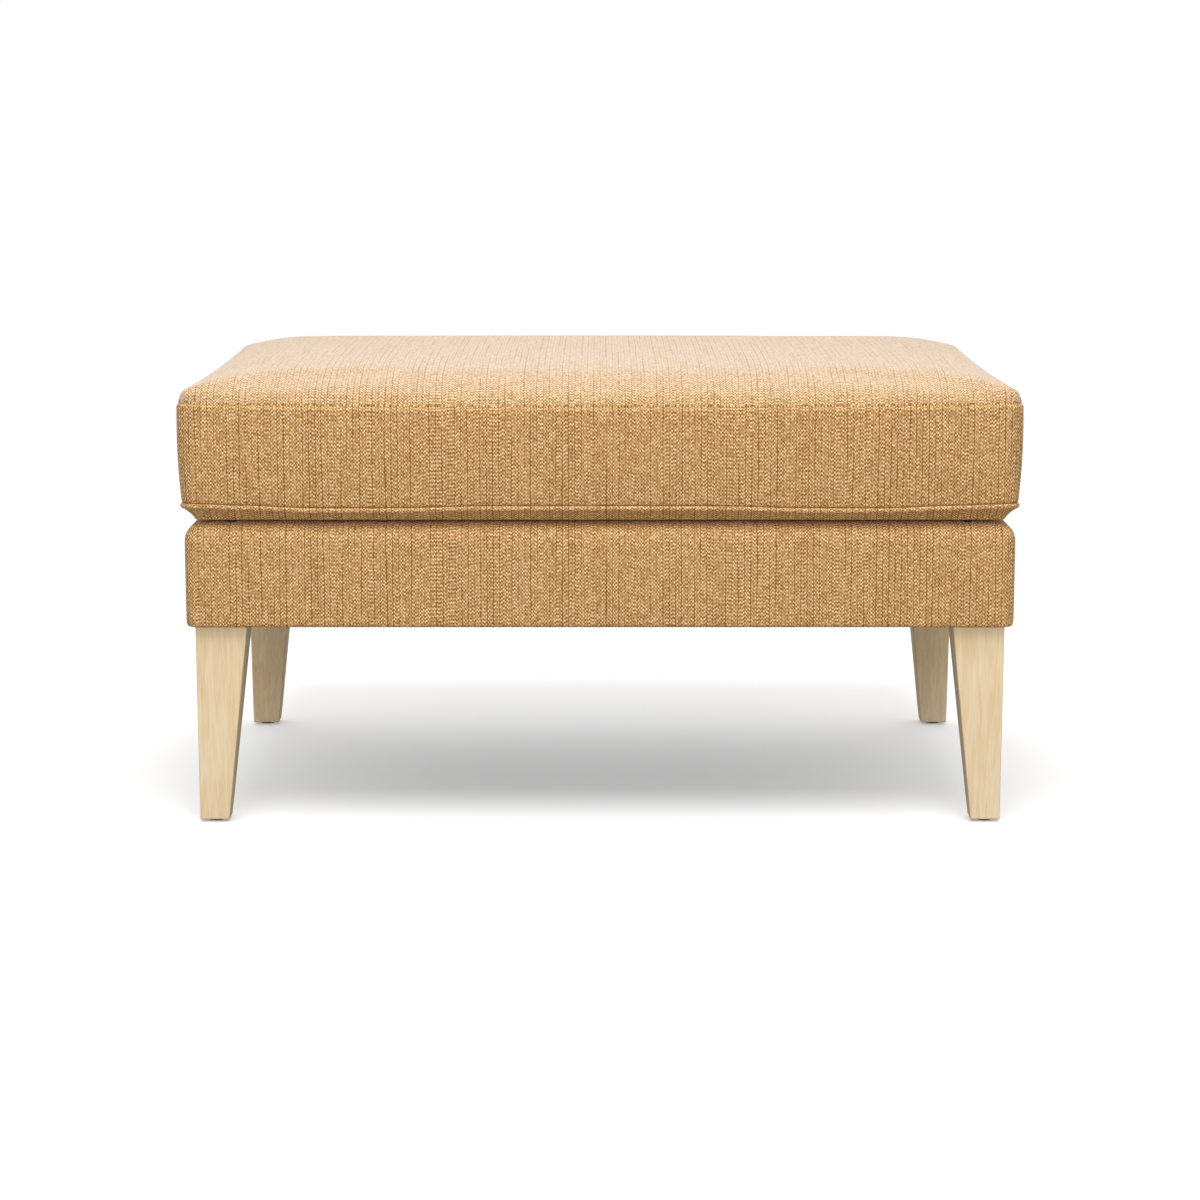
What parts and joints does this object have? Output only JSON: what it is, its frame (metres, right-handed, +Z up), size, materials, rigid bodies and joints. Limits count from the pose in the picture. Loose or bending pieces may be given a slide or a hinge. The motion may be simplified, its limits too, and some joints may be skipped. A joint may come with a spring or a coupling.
{
  "type": "storage ottoman",
  "caption": "Rectangular upholstered storage ottoman: a box cushion lid hinged at the rear over a shallow lined well, on four tapered square legs.",
  "frame": {"origin": "centre of the footprint at floor level", "axes": "+X to the right seen from the front, +Y to the rear where the hinges are, +Z up"},
  "size_m": [0.914, 0.608, 0.508],
  "materials": {
    "upholstery_fabric": "woven slub cloth, matt",
    "lining_fabric": "plain woven lining, matt",
    "dust_fabric": "non-woven cambric",
    "foam": "open-cell foam",
    "wadding": "polyester wadding",
    "leg_wood": "clear satin lacquer",
    "frame_wood": "bare sawn softwood",
    "plywood": "bare birch plywood",
    "glide_plastic": "moulded nylon",
    "bumper_rubber": "moulded rubber",
    "hinge_steel": "zinc plated"
  },
  "bodies": {
    "base": {"base_cover": "upholstery_fabric", "base_padding_front": "foam", "base_padding_left": "foam", "base_padding_rear": "foam", "base_padding_right": "foam", "bottom_panel": "plywood", "bumper_front_left": "bumper_rubber", "bumper_front_right": "bumper_rubber", "bumper_side_left": "bumper_rubber", "bumper_side_right": "bumper_rubber", "corner_block_front_left": "frame_wood", "corner_block_front_right": "frame_wood", "corner_block_rear_left": "frame_wood", "corner_block_rear_right": "frame_wood", "dust_cover": "dust_fabric", "front_rail": "frame_wood", "glide_front_left": "glide_plastic", "glide_front_right": "glide_plastic", "glide_rear_left": "glide_plastic", "glide_rear_right": "glide_plastic", "hanger_bolt_front_left": "hinge_steel", "hanger_bolt_front_right": "hinge_steel", "hanger_bolt_rear_left": "hinge_steel", "hanger_bolt_rear_right": "hinge_steel", "hinge_left_base_leaf": "hinge_steel", "hinge_left_base_screw_a": "hinge_steel", "hinge_left_base_screw_b": "hinge_steel", "hinge_left_pin": "hinge_steel", "hinge_right_base_leaf": "hinge_steel", "hinge_right_base_screw_a": "hinge_steel", "hinge_right_base_screw_b": "hinge_steel", "hinge_right_pin": "hinge_steel", "left_rail": "frame_wood", "leg_front_left": "leg_wood", "leg_front_right": "leg_wood", "leg_rear_left": "leg_wood", "leg_rear_right": "leg_wood", "rear_rail": "frame_wood", "right_rail": "frame_wood", "t_nut_front_left": "hinge_steel", "t_nut_front_right": "hinge_steel", "t_nut_rear_left": "hinge_steel", "t_nut_rear_right": "hinge_steel", "well_lining": "lining_fabric"},
    "lid": {"cushion_boxing": "upholstery_fabric", "cushion_foam": "foam", "cushion_top_panel": "upholstery_fabric", "cushion_under_strip": "upholstery_fabric", "cushion_wadding": "wadding", "hinge_left_lid_leaf": "hinge_steel", "hinge_left_lid_screw_a": "hinge_steel", "hinge_left_lid_screw_b": "hinge_steel", "hinge_right_lid_leaf": "hinge_steel", "hinge_right_lid_screw_a": "hinge_steel", "hinge_right_lid_screw_b": "hinge_steel", "lid_lining": "lining_fabric", "lid_panel": "plywood"}
  },
  "joints": [
    {"name": "lid_hinge", "type": "hinge", "parent": "base", "child": "lid", "pos_m": [0, 0.2925, 0.332], "axis": [-1, 0, 0], "range_deg": [0, 80]}
  ]
}
